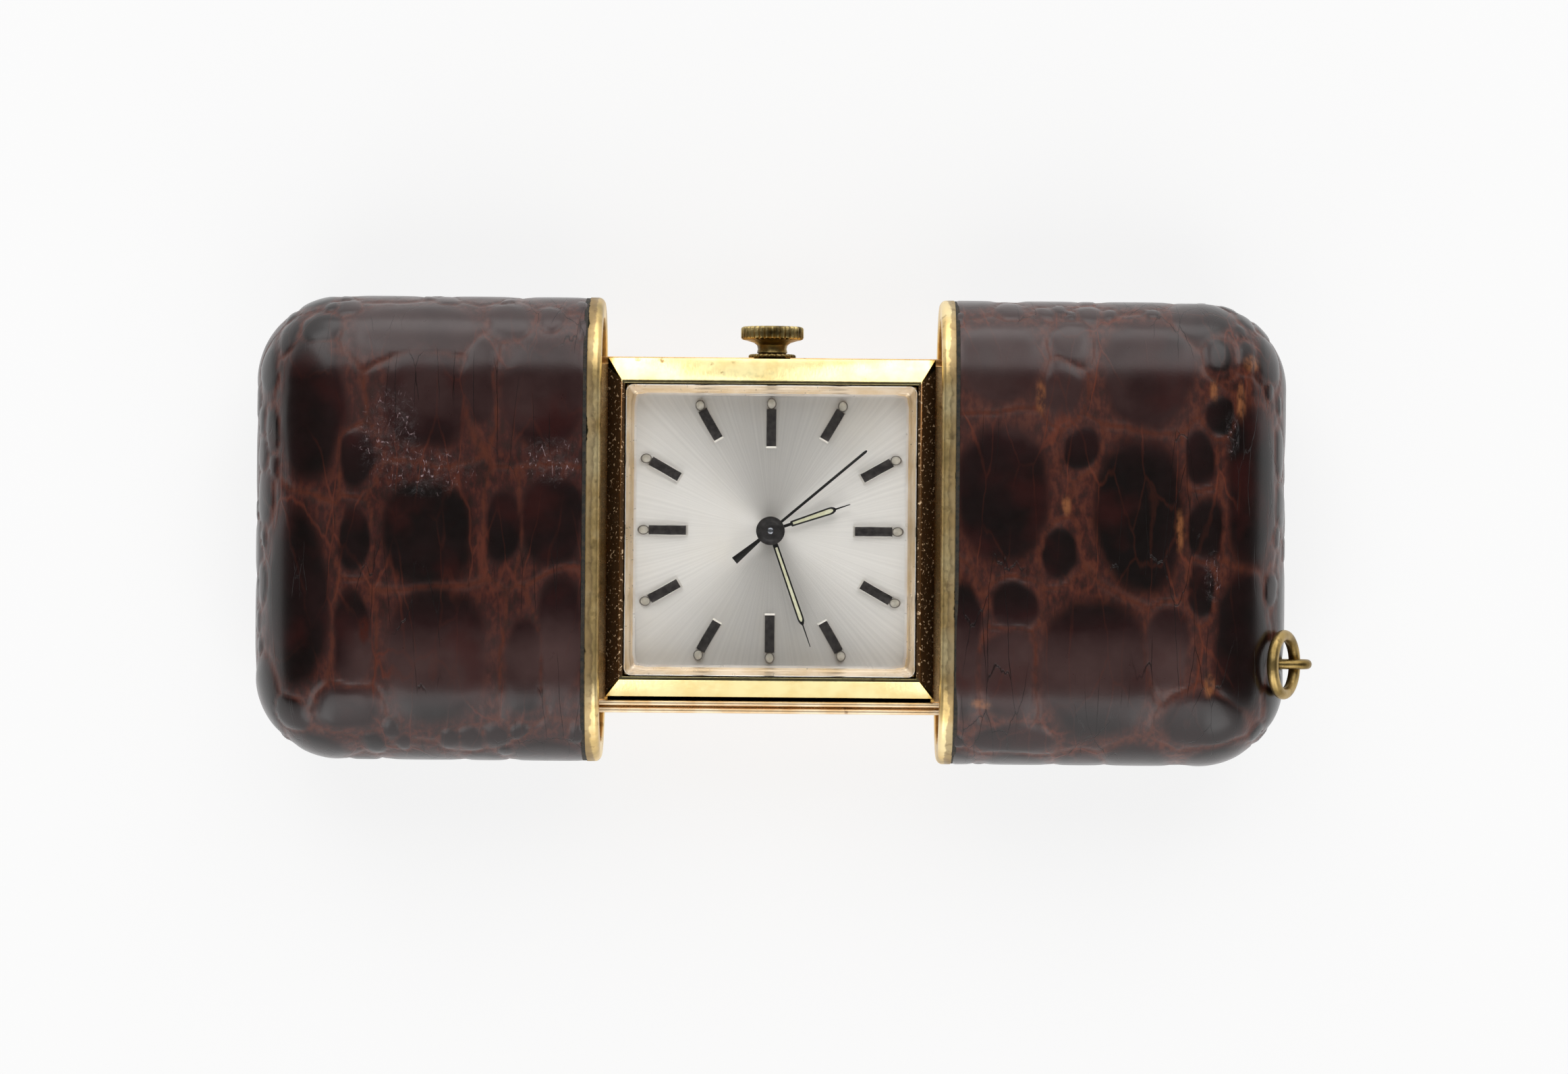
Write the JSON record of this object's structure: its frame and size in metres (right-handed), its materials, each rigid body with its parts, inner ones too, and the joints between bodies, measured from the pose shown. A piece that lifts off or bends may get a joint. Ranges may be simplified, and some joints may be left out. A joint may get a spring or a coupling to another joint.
{
  "type": "sliding-shell travel watch",
  "caption": "Pocket travel watch lying open: two leather-covered shells slide apart over a gold carrier that holds a square-dialled wind-up watch.",
  "frame": {"origin": "middle of the whole open object in plan, on the plane that the shell backs rest on; the dial's centre is 0.955 mm to -X of it, because the lanyard staple reaches past the right shell", "axes": "+X along the slide towards the lanyard end, +Y towards 12 o'clock and the crown, +Z out of the dial"},
  "size_m": [0.0774, 0.034, 0.0145],
  "materials": {
    "leather": "glossy crocodile grain",
    "liner_brass": "plain sheet, tarnished",
    "gold_plate": "polished gold plate, worn",
    "aged_brass": "aged, dull",
    "wheel_brass": "satin",
    "nickel": "fine brushed nickel",
    "steel": "polished steel",
    "crystal": "clear acrylic",
    "dial_silver": "silver sunray",
    "marker_dark": "polished, dark",
    "hand_black": "black with cream lume"
  },
  "bodies": {
    "watch": {"carrier_frame": "gold_plate", "left_friction_spring": "wheel_brass", "right_friction_spring": "wheel_brass", "case_body": "gold_plate", "case_back": "gold_plate", "bezel_frame": "gold_plate", "rehaut_ring": "gold_plate", "crystal": "crystal", "dial": "dial_silver", "hour_marker_1": "marker_dark", "hour_marker_2": "marker_dark", "hour_marker_3": "marker_dark", "hour_marker_4": "marker_dark", "hour_marker_5": "marker_dark", "hour_marker_6": "marker_dark", "hour_marker_7": "marker_dark", "hour_marker_8": "marker_dark", "hour_marker_9": "marker_dark", "hour_marker_10": "marker_dark", "hour_marker_11": "marker_dark", "hour_marker_12": "marker_dark", "main_plate": "nickel", "movement_ring": "wheel_brass", "barrel_bridge": "nickel", "train_bridge": "nickel", "balance_cock": "nickel", "pallet_bridge": "nickel", "stem_tube": "aged_brass", "hairspring": "steel"},
    "left_shell": {"left_leather_cover": "leather", "left_shell_liner": "liner_brass", "left_mouth_rim": "gold_plate", "left_upper_guide": "liner_brass", "left_lower_guide": "liner_brass"},
    "right_shell": {"right_leather_cover": "leather", "right_shell_liner": "liner_brass", "right_mouth_rim": "gold_plate", "right_upper_guide": "liner_brass", "right_lower_guide": "liner_brass", "lanyard_eyelet": "aged_brass"},
    "lanyard_ring": {"lanyard_ring": "aged_brass"},
    "winding_stem": {"winding_stem": "steel"},
    "crown": {"crown": "aged_brass"},
    "crown_wheel": {"crown_wheel": "steel"},
    "ratchet_wheel": {"ratchet_wheel": "steel"},
    "click": {"click": "steel"},
    "barrel": {"barrel": "wheel_brass", "mainspring": "steel"},
    "minute_arbor": {"centre_wheel": "wheel_brass", "cannon_pinion": "steel", "minute_hand": "hand_black"},
    "hour_arbor": {"hour_wheel": "wheel_brass", "hour_hand": "hand_black"},
    "minute_wheel": {"minute_wheel": "wheel_brass"},
    "third_wheel": {"third_wheel": "wheel_brass"},
    "seconds_arbor": {"fourth_wheel": "wheel_brass", "seconds_hand": "hand_black"},
    "escape_wheel": {"escape_wheel": "steel"},
    "pallet_fork": {"pallet_fork": "steel"},
    "balance_wheel": {"balance_wheel": "wheel_brass"}
  },
  "joints": [
    {"name": "left_shell_slide", "type": "slide", "parent": "watch", "child": "left_shell", "axis": [1, 0, 0], "range_m": [0, 0.01215]},
    {"name": "right_shell_slide", "type": "slide", "parent": "watch", "child": "right_shell", "axis": [-1, 0, 0], "range_m": [0, 0.01215]},
    {"name": "lanyard_ring_swing", "type": "hinge", "parent": "right_shell", "child": "lanyard_ring", "pos_m": [0.03739, -0.0094, 0.0096], "axis": [0, 1, 0], "range_deg": [0, 205]},
    {"name": "crown_turn", "type": "hinge", "parent": "watch", "child": "winding_stem", "pos_m": [-0.00096, 0.014, 0.00715], "axis": [0, 1, 0], "continuous": true},
    {"name": "crown_pull", "type": "slide", "parent": "winding_stem", "child": "crown", "axis": [0, 1, 0], "range_m": [0, 0.0003]},
    {"name": "crown_wheel_turn", "type": "hinge", "parent": "watch", "child": "crown_wheel", "pos_m": [-0.00096, 0.0063, 0.0054], "axis": [0, 0, -1], "continuous": true},
    {"name": "ratchet_wheel_turn", "type": "hinge", "parent": "watch", "child": "ratchet_wheel", "pos_m": [-0.00443, 0.00348, 0.0054], "axis": [0, 0, -1], "continuous": true},
    {"name": "click_swing", "type": "hinge", "parent": "watch", "child": "click", "pos_m": [-0.00732, 0.00109, 0.0054], "axis": [0, 0, -1], "range_deg": [0, 10]},
    {"name": "seconds_hand_turn", "type": "hinge", "parent": "watch", "child": "seconds_arbor", "pos_m": [-0.00096, 0, 0.008], "axis": [0, 0, -1], "continuous": true},
    {"name": "minute_hand_turn", "type": "hinge", "parent": "watch", "child": "minute_arbor", "pos_m": [-0.00096, 0, 0.008], "axis": [0, 0, -1], "continuous": true},
    {"name": "hour_hand_turn", "type": "hinge", "parent": "watch", "child": "hour_arbor", "pos_m": [-0.00096, 0, 0.01], "axis": [0, 0, -1], "continuous": true},
    {"name": "minute_wheel_turn", "type": "hinge", "parent": "watch", "child": "minute_wheel", "pos_m": [0.00085, 0.00312, 0.0092], "axis": [0, 0, -1], "continuous": true},
    {"name": "third_wheel_turn", "type": "hinge", "parent": "watch", "child": "third_wheel", "pos_m": [0.00243, -0.00123, 0.006], "axis": [0, 0, -1], "continuous": true},
    {"name": "barrel_turn", "type": "hinge", "parent": "watch", "child": "barrel", "pos_m": [-0.00443, 0.00348, 0.006], "axis": [0, 0, -1], "continuous": true},
    {"name": "escape_wheel_turn", "type": "hinge", "parent": "watch", "child": "escape_wheel", "pos_m": [-0.00096, -0.00354, 0.006], "axis": [0, 0, -1], "continuous": true},
    {"name": "pallet_fork_swing", "type": "hinge", "parent": "watch", "child": "pallet_fork", "pos_m": [-0.0018, -0.00541, 0.0063], "axis": [0, 0, -1], "range_deg": [-5, 5]},
    {"name": "balance_swing", "type": "hinge", "parent": "watch", "child": "balance_wheel", "pos_m": [-0.00434, -0.00483, 0.0058], "axis": [0, 0, -1], "range_deg": [-220, 220], "stiffness_Nm_per_rad": 0.000000047}
  ],
  "couplings": [
    {"joint": "crown_wheel_turn", "follows": "crown_turn", "ratio": 0.35294},
    {"joint": "ratchet_wheel_turn", "follows": "crown_turn", "ratio": -0.33333},
    {"joint": "minute_hand_turn", "follows": "seconds_hand_turn", "ratio": 0.016667},
    {"joint": "hour_hand_turn", "follows": "seconds_hand_turn", "ratio": 0.0013889},
    {"joint": "minute_wheel_turn", "follows": "seconds_hand_turn", "ratio": -0.0055556},
    {"joint": "third_wheel_turn", "follows": "seconds_hand_turn", "ratio": -0.125},
    {"joint": "barrel_turn", "follows": "seconds_hand_turn", "ratio": -0.0023148},
    {"joint": "escape_wheel_turn", "follows": "seconds_hand_turn", "ratio": -10}
  ]
}
